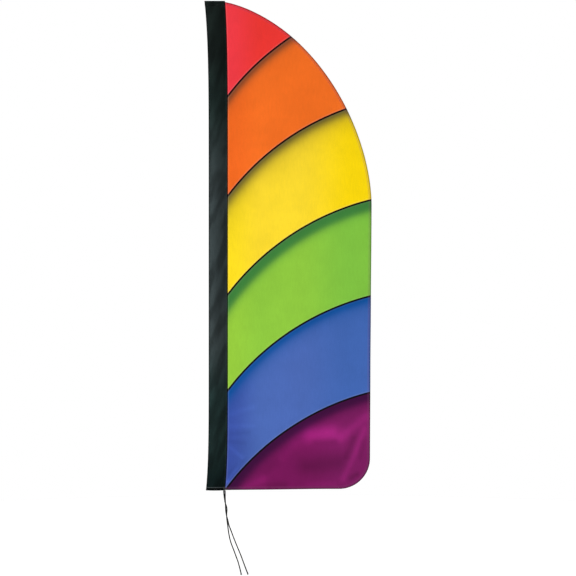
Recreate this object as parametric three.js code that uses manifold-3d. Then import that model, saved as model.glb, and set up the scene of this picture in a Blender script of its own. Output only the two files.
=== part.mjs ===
// Feather flag on a sectional pole: a printed cloth panel sewn to a black pole sleeve, which hangs
// over a three-section pole and ties down with one doubled cord. Millimetres, +Z up the pole.
// The origin is the centre of the pole's foot. +X runs from the pole to the flag's free edge.
import * as THREE from "three";
import { mergeVertices } from "three/addons/utils/BufferGeometryUtils.js";
import Module from "manifold-3d";

// ---- Driving dimensions ------------------------------------------------------------------------

const GAP = 0.3; // left between pieces that touch
const ROUND = 32; // sides of a turned piece

// How finely the cloth and the webbing are faceted.
const SLEEVE_SIDES = 28;
const STRAIGHT_SPANS = 20;
const ROUNDING_SPANS = 8;
const HEAD_SPANS = 30;
const CORNER_SEGMENTS = 10;
const BEND_SEGMENTS = 12;

// Cloth
const SLEEVE_BOTTOM = -10; // the sleeve's open mouth, just below the pole's foot
const SLEEVE_TOP = 2070;
const SLEEVE_WALL = 1.2; // two hemmed layers, drawn a little stout
const SLEEVE_FREE_EDGE = -33.5; // the fold away from the panel, at mid height
const SEAM = 46.5; // the seam to the panel, at mid height
const FREE_EDGE_FLARE = { top: 18, bottom: 12 }; // how far the fold swings out at each end
const SEAM_FLARE = { top: 11.5, bottom: 11.5 };
const FLARE_POWER = { top: 6, bottom: 9 }; // the ends swing out late, the middle is straight
const SLEEVE_HALF_DEPTH = 13; // filled out by the pole
const SLEEVE_HALF_DEPTH_HEM = 2; // sewn flat across the top
const TOP_HEM = 24;
const TOP_ROUNDING = 58; // height over which the sleeve closes down to its top hem
const ROUNDING_POWER = 2.5;

const PANEL_THICKNESS = 1;
const HEAD_CENTRE = { x: -33.6, z: 1201 }; // of the superellipse that the panel's head follows
const HEAD_HALF_WIDTH = 691.6;
const HEAD_HEIGHT = 871.6;
const HEAD_POWER = 1.8;
const FREE_EDGE_FOOT = 651; // the panel's free edge where the rounded corner begins
const CORNER_RADIUS = 131;
const PANEL_BOTTOM = { seam: -8.5, corner: -4 };

// Pole
const POLE_WALL = 1.5;
const LOWER_RADIUS = 8;
const MIDDLE_RADIUS = LOWER_RADIUS - POLE_WALL - GAP;
const MIDDLE_WALL = 1.15;
const ROD_RADIUS = MIDDLE_RADIUS - MIDDLE_WALL - GAP;
const SPIGOT = 90; // how deep each section stands in the one below
const LOWER_RIM = 690;
const MIDDLE_RIM = 1380;
const ROD_END = 2023;

const FOOT_RADIUS = 10;
const FOOT_HEIGHT = 90;
const FOOT_BORE_RADIUS = 5; // takes a 10 mm stake pin
const FOOT_BORE_DEPTH = 42;
const FOOT_CHAMFER = 1;

const FERRULE_HEIGHT = 60;
const FERRULE_WALL = 1.2;
const FERRULE_LIP = 2; // turned in over the tube's rim
const COLLAR_HEIGHT = 10;
const COLLAR_WALL = 2.2;
const COLLAR_CHAMFER = 0.8;

const CAP_WALL = 0.8;
const CAP_CROWN = 8.8; // from the rod's end up to the cap's top
const CAP_HEIGHT = 28;
const CAP_DOME_SPANS = 6;
const CAP_TOP = ROD_END + CAP_CROWN;
const CAP_RADIUS = ROD_RADIUS + GAP + CAP_WALL;

const PATCH_WIDTH = 20; // webbing folded over the cap, inside the sleeve's closed top
const PATCH_THICKNESS = 1;
const PATCH_CLEARANCE = 0.5;
const PATCH_LEG = 45;

// Tie cord: its two tails hang from the seam's foot, twist once round each other and then part.
const CORD_DIAMETER = 5.2;
const CORD_SIDES = 8;
const CORD_STEPS = 34;
const CORD_EXIT = SLEEVE_BOTTOM - GAP;

const LEFT_TAIL = [
  [30.0, 0, CORD_EXIT],
  [30.6, -0.7, -22],
  [32.8, -2.2, -40],
  [36.3, -2.8, -62],
  [42.0, -2.0, -78],
  [43.7, 1.5, -94],
  [42.5, 2.8, -114],
  [43.7, 2.3, -136],
  [46.7, 1.3, -158],
  [50.0, 0.4, -183],
  [54.4, 0, -208],
  [61.2, 0, -234],
  [70.6, 0.4, -259],
  [80.3, 1.0, -285],
  [89.4, 1.6, -310],
  [97.0, 2.2, -336],
  [102.6, 2.6, -359],
  [105.0, 2.8, -370],
];

const RIGHT_TAIL = [
  [35.6, 0, CORD_EXIT],
  [36.0, 0.7, -22],
  [36.2, 2.4, -40],
  [36.9, 2.8, -62],
  [37.7, 2.0, -78],
  [38.6, -1.5, -94],
  [41.4, -2.8, -114],
  [47.3, -2.3, -136],
  [52.5, -1.3, -158],
  [61.6, -0.6, -183],
  [71.0, -0.2, -208],
  [81.2, 0, -234],
  [91.6, -0.4, -259],
  [102.4, -1.0, -285],
  [111.8, -1.8, -310],
  [121.4, -2.6, -336],
  [130.4, -3.2, -359],
  [133.4, -3.4, -368],
];

// ---- Solid helpers -----------------------------------------------------------------------------

const wasm = await Module();
wasm.setup();

function toSolid(geometry) {
  const bare = geometry.clone();
  bare.deleteAttribute("normal");
  bare.deleteAttribute("uv");
  const merged = mergeVertices(bare);
  return new wasm.Manifold(
    new wasm.Mesh({
      numProp: 3,
      vertProperties: merged.attributes.position.array,
      triVerts: new Uint32Array(merged.index.array),
    }),
  );
}

function toGeometry(solid) {
  const mesh = solid.getMesh();
  const geometry = new THREE.BufferGeometry();
  geometry.setAttribute("position", new THREE.BufferAttribute(mesh.vertProperties, 3));
  geometry.setIndex(new THREE.BufferAttribute(mesh.triVerts, 1));
  geometry.computeVertexNormals();
  return geometry;
}

// A piece turned about the pole's axis. The profile's [radius, height] points run up the outside
// and back down the inside, or start and end on the axis.
function turned(profile) {
  const points = profile.map(([radius, height]) => new THREE.Vector2(radius, height));
  return new THREE.LatheGeometry(points, ROUND).rotateX(Math.PI / 2);
}

function ring(inner, outer, bottom, top, chamfer = 0) {
  return turned([
    [inner, bottom],
    [outer - chamfer, bottom],
    [outer, bottom + chamfer],
    [outer, top - chamfer],
    [outer - chamfer, top],
    [inner, top],
    [inner, bottom],
  ]);
}

function tube(inner, outer, bottom, top) {
  return turned([
    [inner, bottom],
    [outer, bottom],
    [outer, top],
    [inner, top],
    [inner, bottom],
  ]);
}

// ---- Shape of the sleeve -----------------------------------------------------------------------

const SLEEVE_MIDDLE = (SLEEVE_TOP + SLEEVE_BOTTOM) / 2;
const SLEEVE_HALF_HEIGHT = (SLEEVE_TOP - SLEEVE_BOTTOM) / 2;
const HEM_FOOT = SLEEVE_TOP - TOP_HEM;
const ROUNDING_FOOT = HEM_FOOT - TOP_ROUNDING;

// 0 at mid height and 1 at each end, rising late, times that end's flare.
function flareAt(z, flare) {
  const end = z > SLEEVE_MIDDLE ? "top" : "bottom";
  const share = Math.abs(z - SLEEVE_MIDDLE) / SLEEVE_HALF_HEIGHT;
  return flare[end] * share ** FLARE_POWER[end];
}

function seamAt(z) {
  return SEAM - flareAt(z, SEAM_FLARE);
}

function foldAt(z) {
  return SLEEVE_FREE_EDGE - flareAt(z, FREE_EDGE_FLARE);
}

function halfDepthAt(z) {
  if (z <= ROUNDING_FOOT) return SLEEVE_HALF_DEPTH;
  if (z >= HEM_FOOT) return SLEEVE_HALF_DEPTH_HEM;
  const share = (z - ROUNDING_FOOT) / TOP_ROUNDING;
  const fullness = (1 - share ** ROUNDING_POWER) ** (1 / ROUNDING_POWER);
  return SLEEVE_HALF_DEPTH_HEM + (SLEEVE_HALF_DEPTH - SLEEVE_HALF_DEPTH_HEM) * fullness;
}

// A closed lens-section tube through the given heights, drawn in from the sleeve's outside by inset.
function sleeveLoft(heights, inset) {
  const spans = heights.length - 1;
  const loft = new THREE.CylinderGeometry(1, 1, 1, SLEEVE_SIDES, spans).rotateX(Math.PI / 2);
  const points = loft.attributes.position;
  for (let i = 0; i < points.count; i += 1) {
    const z = heights[Math.round((points.getZ(i) + 0.5) * spans)];
    const centre = (seamAt(z) + foldAt(z)) / 2;
    const halfWidth = (seamAt(z) - foldAt(z)) / 2 - inset;
    const halfDepth = halfDepthAt(z) - inset;
    points.setXYZ(i, centre + points.getX(i) * halfWidth, points.getY(i) * halfDepth, z);
  }
  return loft;
}

function heightsBetween(bottom, top, spans) {
  return Array.from({ length: spans + 1 }, (_, i) => bottom + ((top - bottom) * i) / spans);
}

// The heights at which the sleeve and the panel's seam edge have their points. They crowd towards
// the sleeve's ends, where the seam swings out.
const STRAIGHT_HEIGHTS = heightsBetween(0, Math.PI, STRAIGHT_SPANS).map(
  (angle) => SLEEVE_BOTTOM + ((ROUNDING_FOOT - SLEEVE_BOTTOM) * (1 - Math.cos(angle))) / 2,
);
const ROUNDING_HEIGHTS = heightsBetween(ROUNDING_FOOT, HEM_FOOT, ROUNDING_SPANS).slice(1);

// ---- Cloth -------------------------------------------------------------------------------------

function poleSleeve() {
  const outside = sleeveLoft([...STRAIGHT_HEIGHTS, ...ROUNDING_HEIGHTS, SLEEVE_TOP], 0);
  const belowMouth = SLEEVE_BOTTOM - SLEEVE_WALL;
  const hollow = [belowMouth, ...STRAIGHT_HEIGHTS, ...ROUNDING_HEIGHTS.slice(0, -1)];
  const inside = sleeveLoft(hollow, SLEEVE_WALL);
  return toGeometry(toSolid(outside).subtract(toSolid(inside)));
}

function flagPanel() {
  const outline = new THREE.Shape();
  outline.moveTo(seamAt(PANEL_BOTTOM.seam) + GAP, PANEL_BOTTOM.seam);
  const cornerCentre = FREE_EDGE_FOOT - CORNER_RADIUS;
  outline.lineTo(cornerCentre, PANEL_BOTTOM.corner);
  outline.absarc(cornerCentre, PANEL_BOTTOM.corner + CORNER_RADIUS, CORNER_RADIUS, -Math.PI / 2, 0);
  // The head runs back over the top by its own angle, so that its points crowd where it bends.
  const seamTop = seamAt(SLEEVE_TOP) + GAP;
  const lastAngle = Math.acos(((seamTop - HEAD_CENTRE.x) / HEAD_HALF_WIDTH) ** (HEAD_POWER / 2));
  for (let i = 0; i <= HEAD_SPANS; i += 1) {
    const angle = (lastAngle * i) / HEAD_SPANS;
    outline.lineTo(
      HEAD_CENTRE.x + HEAD_HALF_WIDTH * Math.cos(angle) ** (2 / HEAD_POWER),
      HEAD_CENTRE.z + HEAD_HEIGHT * Math.sin(angle) ** (2 / HEAD_POWER),
    );
  }
  const seamHeights = [...STRAIGHT_HEIGHTS.slice(1), ...ROUNDING_HEIGHTS].reverse();
  for (const z of seamHeights) outline.lineTo(seamAt(z) + GAP, z);
  outline.closePath();
  const sheet = new THREE.ExtrudeGeometry(outline, {
    depth: PANEL_THICKNESS,
    bevelEnabled: false,
    curveSegments: CORNER_SEGMENTS,
  });
  return sheet.translate(0, 0, -PANEL_THICKNESS / 2).rotateX(Math.PI / 2);
}

// Webbing bent over the cap into an upside-down U, its legs down the front and the back.
function sleeveTopPatch() {
  const inner = CAP_RADIUS + PATCH_CLEARANCE;
  const outer = inner + PATCH_THICKNESS;
  const bendHeight = CAP_TOP + GAP - inner;
  const section = new THREE.Shape();
  section.moveTo(outer, bendHeight - PATCH_LEG);
  section.absarc(0, bendHeight, outer, 0, Math.PI, false);
  section.lineTo(-outer, bendHeight - PATCH_LEG);
  section.lineTo(-inner, bendHeight - PATCH_LEG);
  section.absarc(0, bendHeight, inner, Math.PI, 0, true);
  section.lineTo(inner, bendHeight - PATCH_LEG);
  section.closePath();
  const strip = new THREE.ExtrudeGeometry(section, {
    depth: PATCH_WIDTH,
    bevelEnabled: false,
    curveSegments: BEND_SEGMENTS,
  });
  // The section is drawn in Y and Z and the strip's width runs along X.
  return strip
    .translate(0, 0, -PATCH_WIDTH / 2)
    .rotateX(Math.PI / 2)
    .rotateZ(Math.PI / 2);
}

function cordTail(route) {
  const path = new THREE.CatmullRomCurve3(route.map((point) => new THREE.Vector3(...point)));
  const section = new THREE.Shape();
  section.absarc(0, 0, CORD_DIAMETER / 2, 0, 2 * Math.PI);
  return new THREE.ExtrudeGeometry(section, {
    steps: CORD_STEPS,
    curveSegments: CORD_SIDES / 2,
    bevelEnabled: false,
    extrudePath: path,
  });
}

// ---- Pole --------------------------------------------------------------------------------------

// Solid round the stake pin's bore, then opened out to a socket for the lower tube.
function footFerrule() {
  const socket = LOWER_RADIUS + GAP;
  return turned([
    [FOOT_BORE_RADIUS + FOOT_CHAMFER / 2, 0],
    [FOOT_RADIUS - FOOT_CHAMFER, 0],
    [FOOT_RADIUS, FOOT_CHAMFER],
    [FOOT_RADIUS, FOOT_HEIGHT - FOOT_CHAMFER],
    [FOOT_RADIUS - FOOT_CHAMFER, FOOT_HEIGHT],
    [socket, FOOT_HEIGHT],
    [socket, FOOT_BORE_DEPTH],
    [FOOT_BORE_RADIUS, FOOT_BORE_DEPTH],
    [FOOT_BORE_RADIUS, FOOT_CHAMFER / 2],
    [FOOT_BORE_RADIUS + FOOT_CHAMFER / 2, 0],
  ]);
}

function lowerTube() {
  return tube(LOWER_RADIUS - POLE_WALL, LOWER_RADIUS, FOOT_BORE_DEPTH + GAP, LOWER_RIM);
}

function middleTube() {
  return tube(MIDDLE_RADIUS - MIDDLE_WALL, MIDDLE_RADIUS, LOWER_RIM - SPIGOT, MIDDLE_RIM);
}

function topRod() {
  return turned([
    [0, MIDDLE_RIM - SPIGOT],
    [ROD_RADIUS, MIDDLE_RIM - SPIGOT],
    [ROD_RADIUS, ROD_END],
    [0, ROD_END],
  ]);
}

// A metal cap round a tube's top end, its lip turned in over the rim.
function jointFerrule(tubeRadius, boreRadius, rim) {
  const inner = tubeRadius + GAP;
  const outer = inner + FERRULE_WALL;
  const top = rim + GAP + FERRULE_LIP;
  return turned([
    [inner, rim - FERRULE_HEIGHT],
    [outer - FERRULE_WALL / 2, rim - FERRULE_HEIGHT],
    [outer, rim - FERRULE_HEIGHT + FERRULE_WALL],
    [outer, top - FERRULE_WALL / 2],
    [outer - FERRULE_WALL / 2, top],
    [boreRadius, top],
    [boreRadius, rim + GAP],
    [inner, rim + GAP],
    [inner, rim - FERRULE_HEIGHT],
  ]);
}

// The collar bonded round a section, which rests on the ferrule below it.
function stopCollar(sectionRadius, rim) {
  const bottom = rim + GAP + FERRULE_LIP + GAP;
  const inner = sectionRadius + GAP;
  return ring(inner, inner + COLLAR_WALL, bottom, bottom + COLLAR_HEIGHT, COLLAR_CHAMFER);
}

// A domed cap over the rod's end, which the sleeve's closed top rests on and turns with.
function tipCap() {
  const bottom = CAP_TOP - CAP_HEIGHT;
  const domeFoot = CAP_TOP - CAP_RADIUS;
  const bore = ROD_RADIUS + GAP;
  const dome = [];
  for (let i = 0; i <= CAP_DOME_SPANS; i += 1) {
    const angle = ((Math.PI / 2) * i) / CAP_DOME_SPANS;
    dome.push([CAP_RADIUS * Math.cos(angle), domeFoot + CAP_RADIUS * Math.sin(angle)]);
  }
  dome[CAP_DOME_SPANS][0] = 0;
  return turned([
    [0, ROD_END + GAP],
    [bore, ROD_END + GAP],
    [bore, bottom],
    [CAP_RADIUS, bottom],
    ...dome,
  ]);
}

// ---- Materials and assembly --------------------------------------------------------------------

function material(color, roughness, metalness = 0) {
  return new THREE.MeshStandardMaterial({ color, roughness, metalness });
}

const printedCloth = material(0xf2b51d, 0.75);
const sleeveCloth = material(0x232a29, 0.85);
const webbing = material(0x161818, 0.9);
const cordBraid = material(0x0c0c0c, 0.8);
const fibreglass = material(0xd9d8cf, 0.45);
const aluminium = material(0xb9bcc0, 0.35, 1);
const collarPlastic = material(0x1d1e20, 0.6);
const capRubber = material(0x151515, 0.9);

const pieces = [
  ["foot_ferrule", footFerrule(), aluminium],
  ["lower_tube", lowerTube(), fibreglass],
  ["lower_joint_ferrule", jointFerrule(LOWER_RADIUS, LOWER_RADIUS - POLE_WALL, LOWER_RIM), aluminium],
  ["middle_tube", middleTube(), fibreglass],
  ["middle_stop_collar", stopCollar(MIDDLE_RADIUS, LOWER_RIM), collarPlastic],
  ["middle_joint_ferrule", jointFerrule(MIDDLE_RADIUS, MIDDLE_RADIUS - MIDDLE_WALL, MIDDLE_RIM), aluminium],
  ["top_rod", topRod(), fibreglass],
  ["top_stop_collar", stopCollar(ROD_RADIUS, MIDDLE_RIM), collarPlastic],
  ["tip_cap", tipCap(), capRubber],
  ["sleeve_top_patch", sleeveTopPatch(), webbing],
  ["pole_sleeve", poleSleeve(), sleeveCloth],
  ["flag_panel", flagPanel(), printedCloth],
  ["tie_cord_left_tail", cordTail(LEFT_TAIL), cordBraid],
  ["tie_cord_right_tail", cordTail(RIGHT_TAIL), cordBraid],
];

const flag = new THREE.Group();
for (const [name, geometry, finish] of pieces) {
  const piece = new THREE.Mesh(geometry, finish);
  piece.name = name;
  flag.add(piece);
}

export default flag;
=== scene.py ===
import math

import bmesh
import bpy
import numpy as np
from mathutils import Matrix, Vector, geometry


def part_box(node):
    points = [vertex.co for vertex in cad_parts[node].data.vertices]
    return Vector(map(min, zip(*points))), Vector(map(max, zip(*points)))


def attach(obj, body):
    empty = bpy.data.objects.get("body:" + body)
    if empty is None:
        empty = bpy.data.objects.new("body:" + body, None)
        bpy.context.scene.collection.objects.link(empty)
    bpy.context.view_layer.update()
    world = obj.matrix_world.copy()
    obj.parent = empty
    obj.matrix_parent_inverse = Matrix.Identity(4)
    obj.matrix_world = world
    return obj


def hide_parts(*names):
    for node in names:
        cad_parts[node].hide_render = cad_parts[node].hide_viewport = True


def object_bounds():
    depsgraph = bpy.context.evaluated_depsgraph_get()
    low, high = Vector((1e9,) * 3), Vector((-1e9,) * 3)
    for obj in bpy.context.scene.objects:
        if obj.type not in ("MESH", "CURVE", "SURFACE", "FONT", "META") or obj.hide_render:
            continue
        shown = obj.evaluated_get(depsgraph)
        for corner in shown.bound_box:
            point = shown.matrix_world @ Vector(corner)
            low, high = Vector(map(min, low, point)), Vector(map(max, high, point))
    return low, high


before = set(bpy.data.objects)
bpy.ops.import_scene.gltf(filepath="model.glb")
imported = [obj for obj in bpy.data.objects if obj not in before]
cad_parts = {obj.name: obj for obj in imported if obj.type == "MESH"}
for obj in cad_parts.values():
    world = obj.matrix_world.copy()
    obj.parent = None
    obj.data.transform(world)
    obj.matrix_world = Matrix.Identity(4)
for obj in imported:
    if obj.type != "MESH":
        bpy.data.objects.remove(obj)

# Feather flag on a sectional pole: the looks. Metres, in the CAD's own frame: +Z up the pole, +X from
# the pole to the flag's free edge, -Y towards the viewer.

cad_low, cad_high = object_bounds()
cad_middle = (cad_low + cad_high) / 2
sleeve_low, sleeve_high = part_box("pole_sleeve")
panel_low, panel_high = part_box("flag_panel")
patch_low, patch_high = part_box("sleeve_top_patch")

# ---- Driving dimensions ----

# The sleeve's two edges, as the CAD draws them: straight for most of the height, swinging out late.
SLEEVE_BOTTOM = sleeve_low.z
SLEEVE_TOP = sleeve_high.z
SEAM = sleeve_high.x  # at mid height
FOLD = -0.0335
SEAM_FLARE = {"top": 0.0115, "bottom": 0.0115}
FOLD_FLARE = {"top": 0.018, "bottom": 0.012}
FLARE_POWER = {"top": 6, "bottom": 9}

SLEEVE_DEPTH = 0.0122  # half the tube's depth, where the pole fills it out
SLEEVE_CLOTH = 0.0005
FLANGE = 0.009  # the flat band at the seam, where both layers are sewn to the panel
FLANGE_DEPTH = 0.00075
TOP_HEM = 0.024
TOP_ROUNDING = 0.06
MOUTH_HEM = 0.0125

# The panel's free edge, as the CAD draws it.
HEAD_CENTRE = (-0.0336, 1.201)
HEAD_SIZE = (0.6916, 0.8716)
HEAD_POWER = 1.8
EDGE_FOOT = 0.651
CORNER_RADIUS = 0.131
PANEL_BOTTOM_CORNER = -0.004

PANEL_CLOTH = 0.00035
TUCKED_IN = 0.006  # how far the panel reaches in between the sleeve's layers
HEM_GAP = 0.0007  # between the middles of the hem's two layers
CELL = 0.007  # of the panel's mesh

THREAD = 0.00024  # radius
STITCH = 0.0034
STITCH_GAP = 0.0006
HEM_THREAD_SUNK = 0.00018  # into the cloth's face

CORD = 0.0052  # diameter

# The printed lines are arcs of one circle, shifted down the flag.
LINE_RADIUS = 1.094
LINE_CENTRE_X = 0.920
LINE_SEAM_HEIGHTS = (0.0038, 0.4131, 0.8209, 1.2400, 1.6640)
LINE_HALF_WIDTH = 0.0037  # more than the real 0.0025, so that thin lines still look black from afar

# ---- Small tools ----


def put_in_scene(name, data):
    obj = bpy.data.objects.new(name, data)
    bpy.context.scene.collection.objects.link(obj)
    return obj


def mesh_object(name, points, faces):
    mesh = bpy.data.meshes.new(name)
    mesh.from_pydata([tuple(map(float, p)) for p in points], [], [tuple(f) for f in faces])
    mesh.validate()
    mesh.update()
    mesh.polygons.foreach_set("use_smooth", [True] * len(mesh.polygons))
    return put_in_scene(name, mesh)


def thicken(obj, thickness):
    solidify = obj.modifiers.new("thickness", "SOLIDIFY")
    solidify.thickness = thickness
    solidify.offset = 0.0
    solidify.use_even_offset = True
    solidify.use_rim = True


def vertex_values(obj, name, values):
    attribute = obj.data.attributes.new(name, "FLOAT", "POINT")
    attribute.data.foreach_set("value", np.asarray(values, np.float32))


def grid_faces(rows, columns, closed=False):
    """Quads over a grid of points stored row by row; closed joins the last column to the first."""
    faces = []
    for r in range(rows - 1):
        for c in range(columns if closed else columns - 1):
            d = (c + 1) % columns
            faces.append((r * columns + c, r * columns + d, (r + 1) * columns + d, (r + 1) * columns + c))
    return faces


def unit(rows):
    return rows / np.linalg.norm(rows, axis=1)[:, None]


def lengths_along(line):
    """How far along a line each of its points is."""
    return np.concatenate([[0], np.cumsum(np.linalg.norm(np.diff(line, axis=0), axis=1))])


def read_at(at, along, rows):
    """The rows, which belong to the lengths in along, read at another length or lengths."""
    return np.stack([np.interp(at, along, column) for column in rows.T], axis=-1)


def resample(line, step):
    """The line again, with evenly spaced points about step apart."""
    line = np.asarray(line, float)
    along = lengths_along(line)
    at = np.linspace(0, along[-1], max(2, round(along[-1] / step) + 1))
    return read_at(at, along, line)


def smooth_line(points, step):
    """A Catmull-Rom curve through the points, evenly spaced."""
    points = np.asarray(points, float)
    ends = np.vstack([2 * points[0] - points[1], points, 2 * points[-1] - points[-2]])
    fine = []
    for a, b, c, d in zip(ends, ends[1:], ends[2:], ends[3:]):
        for t in np.linspace(0, 1, 12, endpoint=False):
            bend = 2 * a - 5 * b + 4 * c - d
            twist = 3 * b - a - 3 * c + d
            fine.append(0.5 * (2 * b + (c - a) * t + bend * t**2 + twist * t**3))
    fine.append(points[-1])
    return resample(fine, step)


def frames_along(line):
    """For each point of a line, two directions square to it and to each other, which don't twist."""
    ahead = unit(np.gradient(line, axis=0))
    side = np.cross(ahead[0], (0, 1, 0))
    sides = []
    for direction in ahead:
        side = side - direction * (side @ direction)
        side /= np.linalg.norm(side)
        sides.append(side)
    sides = np.array(sides)
    return sides, np.cross(ahead, sides)


def bump(x):
    """A smooth hump: 1 at 0, 0.37 at 1, almost nothing past 2."""
    return np.exp(-np.square(x))


def smoothstep(x, low, high):
    t = np.clip((x - low) / (high - low), 0, 1)
    return t * t * (3 - 2 * t)


# ---- Shape of the cloth ----

MIDDLE = (SLEEVE_TOP + SLEEVE_BOTTOM) / 2
HALF_HEIGHT = (SLEEVE_TOP - SLEEVE_BOTTOM) / 2


def flare_at(z, flare):
    share = np.abs(z - MIDDLE) / HALF_HEIGHT
    top = flare["top"] * share ** FLARE_POWER["top"]
    bottom = flare["bottom"] * share ** FLARE_POWER["bottom"]
    return np.where(z > MIDDLE, top, bottom)


def seam_at(z):
    return SEAM - flare_at(np.asarray(z, float), SEAM_FLARE)


def fold_at(z):
    return FOLD - flare_at(np.asarray(z, float), FOLD_FLARE)


# The soft, satiny folds low in the panel, each from one point to another: (x, z) of both ends, how wide it
# is, how far it stands towards the viewer, and the share by which its cloth's colour is painted lighter (a
# painted highlight) or, where the share is negative, darker (painted shade).
SATIN_FOLDS = [
    ((0.385, 0.228), (0.500, 0.238), 0.033, 0.0042, 0.78),
    ((0.330, 0.212), (0.560, 0.222), 0.040, 0.0020, 0.26),
    ((0.510, 0.196), (0.660, 0.322), 0.019, 0.0030, 0.38),
    ((0.634, 0.268), (0.583, 0.128), 0.013, 0.0032, 0.36),
    ((0.588, 0.138), (0.530, 0.024), 0.014, 0.0030, 0.30),
    ((0.650, 0.300), (0.640, 0.220), 0.016, 0.0010, 0.16),
    ((0.360, 0.085), (0.540, 0.110), 0.042, -0.0040, -0.31),
    ((0.410, 0.192), (0.520, 0.198), 0.014, -0.0014, -0.18),
    ((0.588, 0.225), (0.548, 0.120), 0.014, -0.0022, -0.20),
    ((0.625, 0.205), (0.612, 0.120), 0.010, -0.0014, -0.12),
    ((0.565, 0.038), (0.602, 0.060), 0.011, -0.0018, -0.26),
    ((0.270, 0.120), (0.335, 0.190), 0.024, 0.0018, 0.18),
    ((0.200, 0.060), (0.270, 0.125), 0.020, -0.0014, -0.10),
    ((0.110, -0.004), (0.215, 0.045), 0.017, 0.0020, 0.28),
    ((0.215, 0.008), (0.300, 0.012), 0.014, -0.0014, -0.20),
    ((0.370, 0.014), (0.520, 0.018), 0.012, 0.0014, 0.14),
]

# Faint wrinkles that run out from the foot of the seam, in the same form, with painted light and shade in
# their last column too.
SEAM_WRINKLES = [
    ((0.060, 0.040), (0.120, 0.170), 0.075, -0.0006, -0.07),
    ((0.040, 0.016), (0.110, 0.120), 0.0070, 0.0013, 0.12),
    ((0.040, 0.052), (0.130, 0.128), 0.0080, -0.0011, -0.10),
    ((0.046, 0.182), (0.120, 0.120), 0.0085, 0.0014, 0.14),
    ((0.044, 0.200), (0.130, 0.188), 0.0090, -0.0010, -0.08),
    ((0.044, 0.262), (0.170, 0.262), 0.0110, 0.0010, 0.08),
    ((0.046, 0.228), (0.150, 0.236), 0.0100, -0.0012, -0.08),
    ((0.046, 0.310), (0.170, 0.348), 0.0130, 0.0010, 0.08),
    ((0.038, 0.022), (0.052, 0.030), 0.0055, 0.0018, 0.50),
]


def along_fold(x, z, start, end, width):
    """How near each point is to a fold's crest: 1 on it, falling off smoothly at its sides and ends."""
    start, end = np.array(start), np.array(end)
    run = end - start
    share = ((x - start[0]) * run[0] + (z - start[1]) * run[1]) / (run @ run)
    near = np.clip(share, 0.12, 0.88)
    away = np.hypot(x - start[0] - near * run[0], z - start[1] - near * run[1])
    return bump(away / width)


LIFT, FOLD_PAINTED_LIGHT = 3, 4  # where each is in a fold's row


def folds_sum(x, z, column):
    """What all the folds add at each point, to its lift or to its painted light and shade."""
    total = np.zeros_like(x)
    for fold in SATIN_FOLDS + SEAM_WRINKLES:
        total = total + fold[column] * along_fold(x, z, *fold[:3])
    return total


BILLOW = 0.0050  # how far the whole panel bellies towards the viewer
# The slow waves across the panel: height, direction in x and z, wavelength and phase.
WAVES = [
    (0.0046, (0.62, 1.0), 0.93, 0.6),
    (0.0030, (1.0, -0.33), 0.47, 1.9),
    (0.0016, (0.8, 0.6), 0.26, 0.4),
]
FLUTTER = 0.0026  # height of the waves down the free edge
FLUTTER_LENGTH = 0.31
FLUTTER_LAG = 2.5 / 0.6  # how much their phase shifts, in radians for each metre out


def panel_lift(x, z):
    """How far the panel stands towards the back, in Y. It is held flat at the seam."""
    out = (x - seam_at(z)) / (EDGE_FOOT - SEAM)
    held = smoothstep(out, -0.01, 0.35)
    up = (z - SLEEVE_BOTTOM) / (SLEEVE_TOP - SLEEVE_BOTTOM)
    billow = -BILLOW * np.sin(np.pi * np.clip(out, 0, 1)) * np.sin(np.pi * up)
    drift = 0.0
    for height, (across, along), wavelength, phase in WAVES:
        drift = drift + height * np.sin(2 * np.pi * (across * x + along * z) / wavelength + phase)
    flutter = FLUTTER * smoothstep(out, 0.45, 1.0)
    flutter = flutter * np.sin(2 * np.pi * z / FLUTTER_LENGTH + FLUTTER_LAG * x)
    folds = folds_sum(x, z, LIFT) * smoothstep(x - seam_at(z), 0.0, 0.02)
    return billow + held * (drift + flutter) - folds


def free_edge():
    """The panel's edge from the foot of the seam, round the corner and over the head, back to the seam."""
    foot = float(seam_at(SLEEVE_BOTTOM)) - TUCKED_IN
    corner_x = EDGE_FOOT - CORNER_RADIUS
    corner_z = PANEL_BOTTOM_CORNER + CORNER_RADIUS
    line = [(foot, panel_low.z), (corner_x - 0.01, PANEL_BOTTOM_CORNER)]
    for angle in np.linspace(-math.pi / 2, 0, 24):
        line.append((corner_x + CORNER_RADIUS * math.cos(angle), corner_z + CORNER_RADIUS * math.sin(angle)))
    head = float(seam_at(SLEEVE_TOP)) - TUCKED_IN
    last = math.acos(((head - HEAD_CENTRE[0]) / HEAD_SIZE[0]) ** (HEAD_POWER / 2))
    for angle in np.linspace(0, last, 160):
        x = HEAD_CENTRE[0] + HEAD_SIZE[0] * math.cos(angle) ** (2 / HEAD_POWER)
        z = HEAD_CENTRE[1] + HEAD_SIZE[1] * math.sin(angle) ** (2 / HEAD_POWER)
        line.append((x, z))
    return resample(line, CELL)


def inset(edge, distance):
    """The edge again, moved into the panel. Its two ends slide along the seam."""
    ahead = unit(np.gradient(edge, axis=0))
    inward = np.stack([-ahead[:, 1], ahead[:, 0]], axis=1)
    from_end = np.minimum(np.arange(len(edge)), np.arange(len(edge))[::-1]) * CELL
    slide = 1 - smoothstep(from_end, 0.0, 0.03)
    up_or_down = np.where(np.arange(len(edge)) < len(edge) / 2, 1.0, -1.0)
    along_seam = np.stack([np.zeros(len(edge)), up_or_down / np.abs(inward[:, 1]).clip(0.5)], axis=1)
    return edge + distance * (inward * (1 - slide[:, None]) + along_seam * slide[:, None])


# ---- The panel ----

SEAM_COLUMNS = (0.0062, 0.0072, 0.0084, 0.0100)  # close columns of points by the seam

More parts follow.
